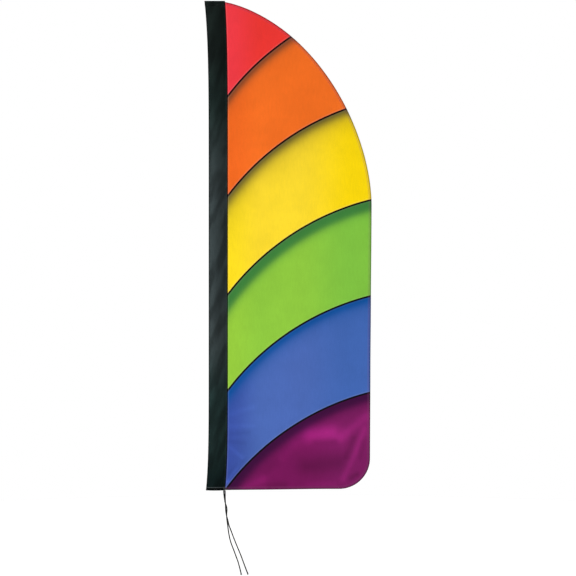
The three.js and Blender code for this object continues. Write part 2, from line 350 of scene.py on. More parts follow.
# The hem's rings of points, by how far in from the edge they are: over the front layer, round the edge
# and over the back one. In HEM_RINGS each also has its layer: 0 in front, 0.5 at the edge, 1 behind.
FRONT_RINGS = (0.0130, 0.0114, 0.0100, 0.0094, 0.0088, 0.0074, 0.0050, 0.0025, 0.0010, 0.0003)
BACK_RINGS = (0.0003, 0.0010, 0.0025, 0.0050, 0.0074, 0.0088, 0.0094, 0.0105)
HEM_RINGS = [(d, 0.0) for d in FRONT_RINGS[1:]] + [(0.0, 0.5)] + [(d, 1.0) for d in BACK_RINGS]
FAR_FROM_EDGE = 0.03  # what the panel's inner points say, past all that the hem changes
HEM_CURL = 0.0011  # how far in from the edge the two layers curl together
HEM_STITCHES = 0.0091
PUCKER = 0.00034
HEM_DIP = 0.00022  # how deep the hem's thread draws the cloth in
HEM_DIP_WIDTH = 0.0011


def pucker_along(count):
    """Small uneven humps along the hem, where its thread draws the cloth in."""
    s = np.arange(count) * CELL
    return 0.55 * np.sin(2 * np.pi * s / 0.031) + 0.45 * np.sin(2 * np.pi * s / 0.0193 + 1.3)


def hem_dip(distance):
    """How far the thread pulls the cloth in, next to the line of stitches."""
    return HEM_DIP * bump((distance - HEM_STITCHES) / HEM_DIP_WIDTH)


def seam_column(heights, distance):
    """A column of points along the seam, that far from the panel's tucked-in edge."""
    return np.stack([seam_at(heights) - TUCKED_IN + distance, heights], axis=1)


def panel_front(edge):
    """The front layer inside the hem: its points in x and z, its faces, and its points next to the hem."""
    inner = inset(edge, FRONT_RINGS[0])
    seam_z = np.linspace(inner[-1, 1], inner[0, 1], round((inner[-1, 1] - inner[0, 1]) / CELL))[1:-1]
    outline = np.vstack([inner, seam_column(seam_z, 0.0)])
    loop = [(i, (i + 1) % len(outline)) for i in range(len(outline))]
    inside = [seam_column(seam_z, distance) for distance in SEAM_COLUMNS]
    row_height = CELL * math.sqrt(3) / 2
    for row, z in enumerate(np.arange(panel_low.z, panel_high.z, row_height)):
        x = np.arange(SEAM - 0.02, panel_high.x, CELL) + (row % 2) * CELL / 2
        inside.append(np.stack([x, np.full(len(x), z)], axis=1))
    inside = np.vstack(inside)
    inside = inside[well_inside(inside, inner)]
    points = [Vector(p) for p in np.vstack([outline, inside])]
    flat, _, faces, origins, _, _ = geometry.delaunay_2d_cdt(points, loop, [], 1, 1e-6)
    place = {origin: new for new, found in enumerate(origins) for origin in found}
    return np.array(flat), list(faces), [place[i] for i in range(len(edge))]


def hem_ring(edge, distance, behind):
    """One line of points round the hem."""
    around = inset(edge, distance)
    lift = panel_lift(around[:, 0], around[:, 1]) + behind * HEM_GAP
    curl = 1 - smoothstep(distance, 0.0, HEM_CURL)
    lift = lift + curl * (0.5 - behind) * HEM_GAP * 0.8
    lift = lift + (1 - 2 * behind) * hem_dip(distance)
    lift = lift + PUCKER * pucker_along(len(edge)) * smoothstep(0.0135 - distance, 0.0, 0.004)
    return np.stack([around[:, 0], lift, around[:, 1]], axis=1)


def flag_panel():
    edge = free_edge()
    count = len(edge)
    xz, faces, ring = panel_front(edge)
    x, z = xz.T
    spots = list(np.stack([x, panel_lift(x, z), z], axis=1))
    from_edge = [FAR_FROM_EDGE] * len(spots)
    for i in ring:
        from_edge[i] = FRONT_RINGS[0]
    for distance, behind in HEM_RINGS:
        new_ring = list(range(len(spots), len(spots) + count))
        spots.extend(hem_ring(edge, distance, behind))
        from_edge.extend([distance] * count)
        faces += [(ring[i], new_ring[i], new_ring[i + 1], ring[i + 1]) for i in range(count - 1)]
        ring = new_ring
    obj = mesh_object("printed_panel", spots, faces)
    x, _, z = np.array(spots).T
    vertex_values(obj, "from_edge", from_edge)
    vertex_values(obj, "from_seam", x - seam_at(z))
    # The folds' painted highlights and painted shade, kept for the cloth's colour.
    vertex_values(obj, "painted_fold_tone", folds_sum(x, z, FOLD_PAINTED_LIGHT))
    turn_towards_viewer(obj, xz.mean(axis=0))
    thicken(obj, PANEL_CLOTH)
    return obj


def well_inside(points, inner):
    """Which of the points are inside the panel, with some room to the inner ring and to the seam."""
    room = CELL * 0.6
    x, z = points[:, 0], points[:, 1]
    ok = x > seam_at(z) - TUCKED_IN + room
    keep = np.zeros(len(points), bool)
    polygon = np.vstack([inner, [seam_at(inner[-1, 1]) - TUCKED_IN, inner[-1, 1]]])
    following = np.roll(polygon, -1, axis=0)
    for i in np.flatnonzero(ok):
        px, pz = points[i]
        crosses = (polygon[:, 1] > pz) != (following[:, 1] > pz)
        a, b = polygon[crosses], following[crosses]
        hits = a[:, 0] + (pz - a[:, 1]) / (b[:, 1] - a[:, 1]) * (b[:, 0] - a[:, 0])
        if (hits > px).sum() % 2:
            keep[i] = np.hypot(inner[:, 0] - px, inner[:, 1] - pz).min() > room
    return keep


def turn_towards_viewer(obj, inside):
    """Makes every face's normal follow the first one, with the front layer facing -Y."""
    work = bmesh.new()
    work.from_mesh(obj.data)
    bmesh.ops.recalc_face_normals(work, faces=work.faces)
    work.faces.ensure_lookup_table()
    nearest = min(work.faces, key=lambda f: math.hypot(*(f.calc_center_median().xz - Vector(inside))))
    if nearest.normal.y > 0:
        bmesh.ops.reverse_faces(work, faces=work.faces)
    work.to_mesh(obj.data)
    work.free()


# ---- The sleeve ----

# Soft diagonal creases down the sleeve: the height where each crosses the middle, its slope in height
# for each metre across, how high it is and how far it stands out.
SLEEVE_CREASES = [
    (0.055, 2.2, 0.020, 0.0007),
    (0.120, 2.8, 0.030, -0.0008),
    (0.215, 3.2, 0.034, 0.0009),
    (0.330, 3.6, 0.040, -0.0009),
    (0.470, 3.0, 0.045, 0.0007),
    (0.700, -2.4, 0.050, 0.0005),
    (0.985, 2.4, 0.060, -0.0006),
    (1.300, -2.8, 0.050, 0.0006),
    (1.560, 2.6, 0.045, -0.0006),
    (1.790, -3.0, 0.034, 0.0007),
    (1.905, 3.2, 0.026, -0.0007),
]
FLANGE_SHARE = 0.115  # of the sleeve's width, which has columns of points of its own
RIM = 0.03  # the last share of the tube's width, where the two layers round into the fold
CREASE_BACK_SHARE = 0.2  # creases stand fully at the back, and lower by twice this share in front
KNOT = (0.0325, 0.0020)  # the sewn-in cord's bulge in the flange: its x, and how far it stands out
KNOT_SIZE = (0.0052, 0.012)
SEAM_DIP = 0.00028  # how deep the seam's thread draws the cloth in
CROSS_DIP = 0.00024  # and the threads across the sleeve
MOUTH_HEM_STEP = 0.0004  # the extra layer inside the mouth
MOUTH_PUCKER = 0.00015
MOUTH_PUCKER_LENGTH = 0.017
TOP_STITCHES = (SLEEVE_TOP - 0.0140, SLEEVE_TOP - 0.0225)
MOUTH_STITCHES = SLEEVE_BOTTOM + MOUTH_HEM
SEAM_STITCHES = 0.0032  # in from the sleeve's edge
SLEEVE_MIDDLE = (SEAM + FOLD) / 2


def sleeve_depth_at(z):
    """Half the tube's depth: full over the pole, closing to nothing at the top hem."""
    foot = SLEEVE_TOP - TOP_HEM - TOP_ROUNDING
    share = np.clip((z - foot) / TOP_ROUNDING, 0, 1)
    full = (1 - share**2.5) ** (1 / 2.5)
    taper = 1 - 0.16 * smoothstep(z, 0.55, 1.75)
    return FLANGE_DEPTH + (SLEEVE_DEPTH - FLANGE_DEPTH) * full * taper


def sleeve_surface(across, z, side, inset_by=0.0):
    """A point of the sleeve. across runs from 0 at the seam to 1 at the fold; side is -1 in front."""
    seam, fold = seam_at(z), fold_at(z) + inset_by
    width = seam - fold
    x = seam - across * width
    tube = np.clip((across * width - FLANGE) / (width - FLANGE), 0, 1)
    lens = np.sin(np.pi * tube**0.92).clip(0) ** 0.82
    past_rim = (tube - 1 + RIM) / RIM
    rim = np.where(past_rim > 0, np.sqrt(np.clip(1 - np.square(past_rim), 0, 1)), 1.0)
    depth = (sleeve_depth_at(z) - FLANGE_DEPTH) * lens + FLANGE_DEPTH * rim
    crease = np.zeros_like(x)
    for height, slope, tall, stand in SLEEVE_CREASES:
        crease = crease + stand * bump((z - height - slope * (x - SLEEVE_MIDDLE)) / tall)
    depth = depth + crease * lens * (1 - CREASE_BACK_SHARE + CREASE_BACK_SHARE * side)
    knot = KNOT[1] * bump((x - KNOT[0]) / KNOT_SIZE[0]) * bump((z - SLEEVE_BOTTOM) / KNOT_SIZE[1])
    depth = depth + knot * (tube <= 0)
    depth = depth - SEAM_DIP * bump((across * width - SEAM_STITCHES) / 0.0011)
    for line in (*TOP_STITCHES, MOUTH_STITCHES):
        depth = depth - CROSS_DIP * bump((z - line) / 0.0013)
    hem = smoothstep(MOUTH_STITCHES + 0.002 - z, 0.0, 0.002)
    depth = depth + MOUTH_HEM_STEP * hem * (tube > 0)
    depth = depth + MOUTH_PUCKER * hem * np.sin(2 * np.pi * x / MOUTH_PUCKER_LENGTH)
    return np.stack([x, side * (depth - inset_by), z], axis=-1)


def sleeve_rows():
    """(height, inset) of each row: up the inside of the mouth's hem, round its edge, and up the outside."""
    rows = [(SLEEVE_BOTTOM + h, 0.0011) for h in (0.0115, 0.0090, 0.0060, 0.0030, 0.0010)]
    rows += [(SLEEVE_BOTTOM + 0.0002, 0.0008), (SLEEVE_BOTTOM, 0.0005), (SLEEVE_BOTTOM + 0.0002, 0.0002)]
    fine = list(np.arange(SLEEVE_BOTTOM + 0.001, SLEEVE_BOTTOM + 0.018, 0.0012))
    middle = list(np.linspace(SLEEVE_BOTTOM + 0.0195, SLEEVE_TOP - 0.0870, 262))
    top = list(np.arange(SLEEVE_TOP - 0.0840, SLEEVE_TOP - 0.0300, 0.003))
    hem = list(np.arange(SLEEVE_TOP - 0.0290, SLEEVE_TOP - 0.0010, 0.0012))
    rows += [(z, 0.0) for z in fine + middle + top + hem]
    return rows + [(SLEEVE_TOP - 0.0003, 0.00025), (SLEEVE_TOP, 0.00055)]


def pole_sleeve():
    flange = np.linspace(0, FLANGE_SHARE, 9)
    tube = FLANGE_SHARE + (1 - FLANGE_SHARE) * np.linspace(0, 1, 40)[1:] ** 0.9
    front = np.concatenate([flange, tube])
    front[-1] = 1.0
    back = front[-2::-1]
    spots = []
    for z, inset_by in sleeve_rows():
        heights = np.full(len(front), z)
        spots.append(sleeve_surface(front, heights, -1, inset_by))
        spots.append(sleeve_surface(back, heights[: len(back)], 1, inset_by))
    columns = len(front) + len(back)
    spots = np.vstack(spots)
    obj = mesh_object("pole_sleeve_cloth", spots, grid_faces(len(spots) // columns, columns))
    vertex_values(obj, "from_fold", spots[:, 0] - fold_at(spots[:, 2]))
    vertex_values(obj, "from_seam", seam_at(spots[:, 2]) - spots[:, 0])
    thicken(obj, SLEEVE_CLOTH)
    return obj, spots.reshape(-1, columns, 3)


# ---- Threads ----

# A stitch from end to end: share of its length, height above the cloth and thickness, both in radii.
STITCH_PROFILE = [
    (0.0, -1.3, 0.55),
    (0.12, -0.1, 0.9),
    (0.35, 0.55, 1.0),
    (0.65, 0.55, 1.0),
    (0.88, -0.1, 0.9),
    (1.0, -1.3, 0.55),
]


def stitches(name, runs, radius=THREAD, length=STITCH, gap=STITCH_GAP):
    """Short raised stitches along each run, a (line, outward directions) pair; their ends dip in."""
    spots, faces = [], []
    sides = 6
    for line, outward in runs:
        along = lengths_along(line)
        for start in np.arange(gap, along[-1] - length, length + gap):
            first = len(spots)
            for share, rise, fat in STITCH_PROFILE:
                s = start + share * length
                centre = read_at(s, along, line)
                out = read_at(s, along, outward)
                ahead = read_at(s + 1e-4, along, line) - centre
                across = np.cross(ahead / max(np.linalg.norm(ahead), 1e-9), out)
                centre = centre + out * rise * radius
                for k in range(sides):
                    angle = 2 * math.pi * k / sides
                    spots.append(centre + fat * radius * (math.cos(angle) * across + math.sin(angle) * out))
            rings = len(STITCH_PROFILE)
            faces += [tuple(first + i for i in f) for f in grid_faces(rings, sides, closed=True)]
            faces.append(tuple(first + k for k in range(sides)))
            faces.append(tuple(first + (rings - 1) * sides + k for k in reversed(range(sides))))
    return mesh_object(name, spots, faces)


def facing(count, y):
    return np.tile((0.0, y, 0.0), (count, 1))


def hem_stitches():
    edge = inset(free_edge(), HEM_STITCHES)
    edge = edge[edge[:, 0] > seam_at(edge[:, 1]) + 0.001]
    middle = panel_lift(edge[:, 0], edge[:, 1])
    out = PANEL_CLOTH / 2 - HEM_THREAD_SUNK
    front = np.stack([edge[:, 0], middle - out, edge[:, 1]], axis=1)
    back = np.stack([edge[:, 0], middle + HEM_GAP + out, edge[:, 1]], axis=1)
    return stitches("hem_thread", [(front, facing(len(front), -1)), (back, facing(len(back), 1))])


def on_sleeve(across, z, side, off=0.0):
    """A line over the sleeve's outer face, or that far off it."""
    line = sleeve_surface(across, z, side)
    line[:, 1] += side * (SLEEVE_CLOTH / 2 + off)
    return line


def sleeve_stitches():
    """The seam's line of stitches, both hems', and on the back the same again."""
    runs = []
    z = np.arange(SLEEVE_BOTTOM + 0.002, SLEEVE_TOP - 0.002, 0.008)
    width = seam_at(z) - fold_at(z)
    across = np.linspace(0.012, 0.985, 60)
    for side in (-1, 1):
        runs.append((on_sleeve(SEAM_STITCHES / width, z, side), facing(len(z), side)))
        for height in (*TOP_STITCHES, MOUTH_STITCHES):
            line = on_sleeve(across, np.full(len(across), height), side)
            outward = np.cross(np.gradient(line, axis=0), (0, 0, 1.0))
            outward *= np.sign(outward[:, 1:2]) * side
            runs.append((line, unit(outward)))
    return stitches("sleeve_thread", runs)


TACK_LEFT = 0.0260
TACK_WIDTH = 0.0133
TACK_FOOT = SLEEVE_BOTTOM + 0.0030
TACK_RISE = 0.00042  # up for each pass across
TACK_PASSES = 30


def bar_tack():
    """Close zigzag stitches over the cord, through the foot of the seam, in front and behind."""
    zigzag = [(TACK_LEFT + TACK_WIDTH * (i % 2), TACK_FOOT + TACK_RISE * i) for i in range(TACK_PASSES)]
    fine = resample(zigzag, 0.0012)
    z = fine[:, 1]
    across = (seam_at(z) - fine[:, 0]) / (seam_at(z) - fold_at(z))
    runs = []
    for side in (-1, 1):
        line = on_sleeve(across.clip(0.004, 1), z, side, off=0.0001)
        runs.append((line, facing(len(line), side)))
    return stitches("cord_bar_tack", runs, radius=0.00022, length=0.0125, gap=0.0004)


# ---- The tie cord ----

CORD_EXIT = SLEEVE_BOTTOM - 0.0003

LEFT_TAIL = [
    (0.0300, 0, CORD_EXIT),
    (0.0306, -0.0007, -0.022),
    (0.0328, -0.0022, -0.040),
    (0.0363, -0.0028, -0.062),
    (0.0420, -0.0020, -0.078),
    (0.0437, 0.0015, -0.094),
    (0.0425, 0.0028, -0.114),
    (0.0437, 0.0023, -0.136),
    (0.0467, 0.0013, -0.158),
    (0.0500, 0.0004, -0.183),
    (0.0544, 0, -0.208),
    (0.0612, 0, -0.234),
    (0.0706, 0.0004, -0.259),
    (0.0803, 0.0010, -0.285),
    (0.0894, 0.0016, -0.310),
    (0.0970, 0.0022, -0.336),
    (0.1026, 0.0026, -0.359),
    (0.1050, 0.0028, -0.370),
]

RIGHT_TAIL = [
    (0.0356, 0, CORD_EXIT),
    (0.0360, 0.0007, -0.022),
    (0.0362, 0.0024, -0.040),
    (0.0369, 0.0028, -0.062),
    (0.0377, 0.0020, -0.078),
    (0.0386, -0.0015, -0.094),
    (0.0414, -0.0028, -0.114),
    (0.0473, -0.0023, -0.136),
    (0.0525, -0.0013, -0.158),
    (0.0616, -0.0006, -0.183),
    (0.0710, -0.0002, -0.208),
    (0.0812, 0, -0.234),
    (0.0916, -0.0004, -0.259),
    (0.1024, -0.0010, -0.285),
    (0.1118, -0.0018, -0.310),
    (0.1214, -0.0026, -0.336),
    (0.1304, -0.0032, -0.359),
    (0.1334, -0.0034, -0.368),
]

BRAID_STRANDS = 8  # in each of the two directions
BRAID_PITCH = 0.0145  # length in which a strand goes once round
BRAID_RELIEF = 0.00030
SEALED_END = 0.0055
SEALED_BLOB = 0.0022  # from the end to the middle of its melted swelling
SEALED_ROUNDING = 0.0018
CORD_STEP = 0.00042  # between its rings of points
CORD_SIDES = 44
FUZZ = 0.00004  # left free inside the cord's diameter


def braid_height(angle, along):
    """How high the braid stands, 0 to 1: strands of both directions passing over and under."""
    turn = along / BRAID_PITCH
    p = BRAID_STRANDS * (angle / (2 * np.pi) + turn)
    q = BRAID_STRANDS * (angle / (2 * np.pi) - turn)
    u, v = p % 1 - 0.5, q % 1 - 0.5
    even = (np.floor(p) + np.floor(q)) % 2 < 0.5
    across, lengthwise = np.where(even, u, v), np.where(even, v, u)
    return np.sqrt(np.clip(1 - np.square(1.85 * across), 0, 1)) * (1 - 0.55 * np.square(1.8 * lengthwise))


def cord_tail(name, route, blob):
    """One tail along its route. Its melted end swells to blob times the cord's own thickness."""
    line = smooth_line(route, CORD_STEP)
    side, other = frames_along(line)
    along = np.arange(len(line)) * CORD_STEP
    total = along[-1]
    sides = CORD_SIDES
    angle = np.linspace(0, 2 * np.pi, sides, endpoint=False)
    spots, braid = [], []
    for i, centre in enumerate(line):
        from_end = total - along[i]
        sealed = 1 - smoothstep(from_end, SEALED_END * 0.6, SEALED_END)
        height = braid_height(angle, np.full(sides, along[i]))
        relief = BRAID_RELIEF * (height - 0.75) * (1 - sealed)
        swell = (blob - 1) * bump((from_end - SEALED_BLOB) / 0.0026)
        tip = math.sqrt(max(0.0, 1 - max(0.0, 1 - from_end / SEALED_ROUNDING) ** 2))
        start = math.sqrt(max(0.02, 1 - max(0.0, 1 - along[i] / 0.0008) ** 2))
        melt = 0.00008 * sealed * np.sin(3 * angle + 2100 * along[i])
        radius = (CORD / 2 - FUZZ + relief + melt) * (1 + swell) * max(tip, 0.04) * start
        outward = np.outer(np.cos(angle), side[i]) + np.outer(np.sin(angle), other[i])
        spots.append(centre + radius[:, None] * outward)
        braid.append(height * (1 - sealed) + 0.6 * sealed)
    spots = np.vstack(spots)
    faces = grid_faces(len(line), sides, closed=True)
    last = (len(line) - 1) * sides
    faces.append(tuple(reversed(range(sides))))
    faces.append(tuple(last + k for k in range(sides)))
    obj = mesh_object(name, spots, faces)
    vertex_values(obj, "braid", np.concatenate(braid))
    return obj, line, total


# ---- The webbing patch inside the sleeve's closed top ----

WEBBING = 0.0010
RIB = 0.00009
RIB_PITCH = 0.0016
SELVEDGE = 0.00012
SELVEDGE_INSET = 0.0008


def top_patch():
    """Webbing bent over the cap into an upside-down U, ribbed across its length."""
    outer = patch_high.y
    inner = outer - WEBBING
    middle = (outer + inner) / 2
    bend = patch_high.z - outer
    leg = bend - patch_low.z
    length = 2 * leg + math.pi * middle
    step = RIB_PITCH / 4
    width = np.linspace(patch_low.x, patch_high.x, 22)
    selvedge_at = (patch_high.x - patch_low.x) / 2 - SELVEDGE_INSET
    selvedge = SELVEDGE * bump((np.abs(width) - selvedge_at) / 0.0006)
    spots = []
    for s in np.arange(0, length + step / 2, step):
        rib = RIB * math.cos(2 * math.pi * s / RIB_PITCH)
        if s < leg:
            y, z, out = -middle, patch_low.z + s, (-1, 0)
        elif s > length - leg:
            y, z, out = middle, patch_low.z + (length - s), (1, 0)
        else:
            angle = math.pi - (s - leg) / middle
            out = (math.cos(angle), math.sin(angle))
            y, z = middle * out[0], bend + middle * out[1]
        lift = rib + selvedge
        spots.append(np.stack([width, y + lift * out[0], z + lift * out[1]], axis=1))
    spots = np.vstack(spots)
    obj = mesh_object("top_webbing", spots, grid_faces(len(spots) // len(width), len(width)))
    thicken(obj, WEBBING - 0.0003)
    return obj, (patch_high.x - patch_low.x, length)


# ---- Materials ----


def srgb(r, g, b):
    """An 8-bit screen colour as the linear colour that shaders take."""
    def linear(c):
        c = c / 255
        return c / 12.92 if c <= 0.04045 else ((c + 0.055) / 1.055) ** 2.4

    return (linear(r), linear(g), linear(b), 1.0)


class Paint:
    """A material with one Principled surface, and a short method for each kind of node."""

    def __init__(self, name, **constants):
        self.material = bpy.data.materials.new(name)
        self.material.use_nodes = True
        self.tree = self.material.node_tree
        self.surface = self.tree.nodes["Principled BSDF"]
        for socket, value in constants.items():
            self.surface.inputs[socket.replace("_", " ")].default_value = value
        place = self.tree.nodes.new("ShaderNodeTexCoord")
        self.place = place.outputs["Object"]
        apart = self.add("ShaderNodeSeparateXYZ", {0: self.place})
        self.x, self.y, self.z = apart.outputs

    def add(self, kind, inputs, **settings):
        node = self.tree.nodes.new(kind)
        for setting, value in settings.items():
            setattr(node, setting, value)
        for socket, value in inputs.items():
            if isinstance(value, bpy.types.NodeSocket):
                self.tree.links.new(value, node.inputs[socket])
            else:
                node.inputs[socket].default_value = value
        return node

    def math(self, operation, a, b=0.0, c=0.0):
        return self.add("ShaderNodeMath", {0: a, 1: b, 2: c}, operation=operation).outputs[0]

    def times(self, a, b):
        return self.math("MULTIPLY", a, b)

    def ramp(self, value, low, high, to_low=0.0, to_high=1.0):
        """Rises smoothly from to_low to to_high as value goes from low to high."""
        inputs = {0: value, 1: low, 2: high, 3: to_low, 4: to_high}
        return self.add("ShaderNodeMapRange", inputs, interpolation_type="SMOOTHSTEP").outputs[0]

    def toned(self, tone, value, low, high, to_low, to_high):
        """The tone, multiplied by a ramp over the value."""
        return self.times(tone, self.ramp(value, low, high, to_low, to_high))

    def band(self, value, low, high, soft):
        """1 from low to high and 0 beyond, with soft edges."""
        rise = self.ramp(value, low - soft / 2, low + soft / 2)
        fall = self.ramp(value, high - soft / 2, high + soft / 2, 1.0, 0.0)
        return self.times(rise, fall)

    def mix(self, share, a, b, blend="MIX"):
        node = self.add("ShaderNodeMix", {0: share, 6: a, 7: b}, data_type="RGBA", blend_type=blend)
        return node.outputs[2]

    def tinted(self, colour, tone):
        """The colour made lighter or darker by a plain factor."""
        grey = self.add("ShaderNodeCombineColor", {0: tone, 1: tone, 2: tone}).outputs[0]
        return self.mix(1.0, colour, grey, "MULTIPLY")

    def attribute(self, name):
        return self.add("ShaderNodeAttribute", {}, attribute_name=name).outputs["Fac"]

    def noise(self, scale, detail=3.0, stretch=None):
        vector = self.place
        if stretch:
            scaled = self.add("ShaderNodeVectorMath", {0: vector, 1: stretch}, operation="MULTIPLY")
            vector = scaled.outputs[0]
        inputs = {"Vector": vector, "Scale": scale, "Detail": detail}
        return self.add("ShaderNodeTexNoise", inputs).outputs["Fac"]

    def wave(self, value, period):
        """0 to 1 and back, once each period of value."""
        turn = self.times(value, 2 * math.pi / period)
        return self.math("MULTIPLY_ADD", self.math("SINE", turn), 0.5, 0.5)

    def weave(self, across, along, period):
        """A plain weave: two sets of threads that pass over and under each other."""
        a, b = self.wave(across, period), self.wave(along, period)
        over = self.math("GREATER_THAN", self.math("ABSOLUTE", self.math("SUBTRACT", a, b)), 0.5)
        crown = self.math("MAXIMUM", a, b)
        return self.math("MULTIPLY_ADD", over, 0.25, self.times(crown, 0.75))

    def roughness(self, value, low, high):
        self.tree.links.new(self.ramp(value, 0.0, 1.0, low, high), self.surface.inputs["Roughness"])

    def colour(self, socket):
        self.tree.links.new(socket, self.surface.inputs["Base Color"])

    def finished(self, colour, height, distance, strength=1.0):
        """The material, with this colour and a fine relief."""
        self.colour(colour)
        relief = self.add("ShaderNodeBump", {"Height": height, "Distance": distance, "Strength": strength})
        self.tree.links.new(relief.outputs[0], self.surface.inputs["Normal"])
        return self.material


PANEL_WEAVE = 0.0008  # from one thread to the next but one
SLEEVE_WEAVE = 0.0011
THREAD_TWIST = 0.0007

# Each printed band, from the foot up: its colour near the seam, in the middle and near the free edge,
# its shadow's colour, how far below the line that shadow is half gone, and how sharply it ends.
BANDS = [
    ((111, 18, 81), (116, 18, 85), (121, 25, 92), (60, 8, 58), 0.0430, 4.5),
    ((58, 80, 162), (74, 104, 179), (64, 101, 176), (4, 78, 152), 0.0355, 3.0),
    ((149, 202, 60), (141, 198, 62), (128, 194, 65), (60, 126, 58), 0.0500, 6.0),
    ((252, 221, 28), (254, 220, 46), (252, 217, 4), (108, 96, 40), 0.0375, 2.5),
    ((241, 104, 30), (243, 110, 32), (242, 111, 32), (134, 70, 38), 0.0277, 3.3),
    ((239, 58, 68), (237, 54, 49), (236, 54, 60), None, None, None),
]
LIGHT_SHARE = 0.97  # of its screen colour that a surface is given, since the light adds the rest
LINE_INK = srgb(10, 3, 7)
LINE_GLOW = (0.62, 0.58, 0.54, 1)  # the thin pale line above each black one
LINE_HALO = (0.34, 0.30, 0.27, 1)  # the greyish one below it
HEM_GLOW = (0.50, 0.16, 0.36, 1)  # what the hem's two layers add to the colour
LINE_HALO_SHARES = (0.0, 0.03, 0.06, 0.06, 0.05)  # how strong that is at each line, from the foot up


# The sleeve's black, painted lighter in the middle of its height and darker towards its foot and head, as
# painted light and shade: the two heights between which it changes, and what it changes to.
SLEEVE_FOOT_PAINTED_SHADE = srgb(7, 22, 22)
SLEEVE_PAINTED_SHADES = [
    (0.02, 0.20, srgb(25, 41, 40)),
    (0.36, 0.66, srgb(46, 54, 55)),
    (1.25, 1.66, srgb(22, 34, 32)),
    (1.66, 1.86, srgb(15, 23, 21)),
]
PAINTED_FOLD_SLANT = 0.30  # how far the sleeve's painted folds of light and shade lean across, for each metre up
PAINTED_FOLD_STRETCH = 0.28  # how much slower they change up the sleeve than across it
HEM_EDGE = srgb(96, 102, 104)  # the light that the mouth hem's edge catches


def dyed(screen_colour):
    """What the cloth is given so that it shows this screen colour."""
    return (*(LIGHT_SHARE * part for part in srgb(*screen_colour)[:3]), 1.0)


def above_line(paint, seam_height):
    """How far a place is above a printed line, measured square to it."""
    drop = math.sqrt(LINE_RADIUS**2 - (LINE_CENTRE_X - SEAM) ** 2)
    # Only the upper half of the circle counts, so all that is lower is inside it.
    up = paint.math("MAXIMUM", paint.z, seam_height - drop)
    flat = paint.add("ShaderNodeCombineXYZ", {0: paint.x, 2: up}).outputs[0]
    centre = (LINE_CENTRE_X, 0.0, seam_height - drop)
    far = paint.add("ShaderNodeVectorMath", {0: flat, 1: centre}, operation="DISTANCE").outputs["Value"]
    return paint.math("SUBTRACT", far, LINE_RADIUS)


def shadow_below(paint, off, reach, sharpness):
    """The airbrushed shadow below a line: full at the line, half gone at reach."""
    depth = paint.math("MAXIMUM", paint.times(off, -1 / reach), 0.0)
    return paint.math("DIVIDE", 1.0, paint.math("ADD", paint.math("POWER", depth, sharpness), 1.0))


def printed_colour(paint):
    """The flag's print from its place alone, so that it runs unbroken over the hem and shows through."""
    offs = [above_line(paint, height) for height in LINE_SEAM_HEIGHTS]
    left = paint.ramp(paint.x, 0.05, 0.20)
    right = paint.ramp(paint.x, 0.34, 0.58)
    colour = None
    for i, (near, middle, outer, shadow, reach, sharpness) in enumerate(BANDS):
        band = paint.mix(right, paint.mix(left, dyed(near), dyed(middle)), dyed(outer))
        if shadow:
            band = paint.mix(shadow_below(paint, offs[i], reach, sharpness), band, dyed(shadow))
        if colour is None:
            colour = band
        else:
            above = paint.ramp(offs[i - 1], -0.0004, 0.0004)
            colour = paint.mix(above, colour, band)
    for off, halo in zip(offs, LINE_HALO_SHARES):
        light = paint.band(off, 0.0040, 0.0080, 0.0020)
        colour = paint.mix(paint.times(light, 0.07), colour, LINE_GLOW)
        if halo:
            grey = paint.band(off, -0.0090, -0.0040, 0.0024)
            colour = paint.mix(paint.times(grey, halo), colour, LINE_HALO)
        ink = paint.band(off, -LINE_HALF_WIDTH, LINE_HALF_WIDTH, 0.0010)
        colour = paint.mix(ink, colour, LINE_INK)
    return colour


def printed_cloth():
    paint = Paint("printed_cloth", Sheen_Weight=0.01, Sheen_Roughness=0.45, Specular_IOR_Level=0.06)
    colour = printed_colour(paint)
    mottle = paint.ramp(paint.noise(9.0, 4.0), 0.3, 0.7, 0.965, 1.03)
    slub = paint.ramp(paint.noise(260.0, 2.0, (1.0, 1.0, 0.12)), 0.3, 0.7, 0.975, 1.02)
    # The folds' painted highlights and painted shade, as a factor on the colour.
    painted_fold_tone = paint.math("MAXIMUM", paint.math("ADD", paint.attribute("painted_fold_tone"), 1.0), 0.4)
    tone = paint.times(paint.times(mottle, slub), painted_fold_tone)
    threads = paint.weave(paint.x, paint.z, PANEL_WEAVE)
    tone = paint.toned(tone, threads, 0.2, 1.0, 0.90, 1.035)
    # The hem, in painted shade: its rim turns away and is painted darker, and its line of stitches is drawn
    # in darker, as painted shade in the groove the thread draws into the cloth.
    from_edge = paint.attribute("from_edge")
    tone = paint.toned(tone, from_edge, 0.0008, 0.0080, 0.36, 1.0)
    stitch_groove_shade = paint.band(from_edge, HEM_STITCHES - 0.0010, HEM_STITCHES + 0.0012, 0.0008)
    tone = paint.toned(tone, stitch_groove_shade, 0.0, 1.0, 1.0, 0.74)
    # The seam: a dark line of painted shade where the panel goes in between the sleeve's layers, and a
    # pressed pale one, a painted highlight on its ridge.
    from_seam = paint.attribute("from_seam")
    tone = paint.toned(tone, from_seam, 0.0004, 0.0020, 0.12, 1.0)
    colour = paint.tinted(colour, tone)
    seam_ridge_highlight = paint.band(from_seam, 0.0026, 0.0056, 0.0012)
    colour = paint.mix(paint.times(seam_ridge_highlight, 0.07), colour, LINE_GLOW)
    turned_in = paint.band(from_edge, 0.0040, 0.0130, 0.0030)
    colour = paint.mix(paint.times(turned_in, 0.06), colour, HEM_GLOW)
    paint.roughness(paint.noise(40.0), 0.50, 0.66)
    return paint.finished(colour, threads, 0.00010, 0.8)


def print_thread():
    """The hem's thread takes the print's colours, a little darker."""
    paint = Paint("print_thread", Roughness=0.6, Sheen_Weight=0.02, Specular_IOR_Level=0.1)
    twist = paint.wave(paint.math("ADD", paint.x, paint.z), THREAD_TWIST)
    tone = paint.ramp(twist, 0.0, 1.0, 0.74, 0.46)
    return paint.finished(paint.tinted(printed_colour(paint), tone), twist, 0.00008)


